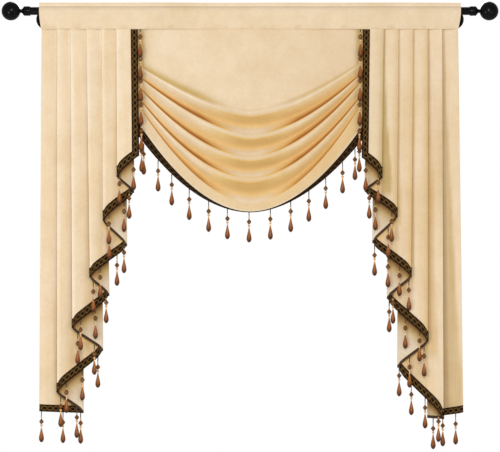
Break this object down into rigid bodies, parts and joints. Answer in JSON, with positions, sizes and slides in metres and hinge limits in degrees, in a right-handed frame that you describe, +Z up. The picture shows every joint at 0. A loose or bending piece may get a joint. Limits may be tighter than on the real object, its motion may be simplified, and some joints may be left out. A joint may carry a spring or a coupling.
{
  "type": "waterfall valance on a curtain rod",
  "caption": "Cream velvet valance with a draped swag between pleated zigzag cascades, braid and hanging bead fringe, on a black curtain rod with ball finials and wall brackets",
  "frame": {"origin": "on the wall, midway between the centres of the two bracket plates", "axes": "+X runs along the rod to the right as seen from the room, +Y points from the room into the wall, +Z is up"},
  "size_m": [1.563, 0.1226, 1.4075],
  "materials": {
    "cream_velvet": "soft pile",
    "brown_braid": "woven",
    "copper_beads": "gloss",
    "black_enamel": "gloss"
  },
  "bodies": {
    "root": {"header_band": "cream_velvet", "swag": "cream_velvet", "cascade_left": "cream_velvet", "cascade_right": "cream_velvet", "braid_left": "brown_braid", "braid_right": "brown_braid", "braid_swag": "brown_braid", "fringe_left": "copper_beads", "fringe_right": "copper_beads", "fringe_swag": "copper_beads", "rod": "black_enamel", "finial_left": "black_enamel", "finial_right": "black_enamel", "bracket_left": "black_enamel", "bracket_right": "black_enamel"}
  },
  "joints": []
}
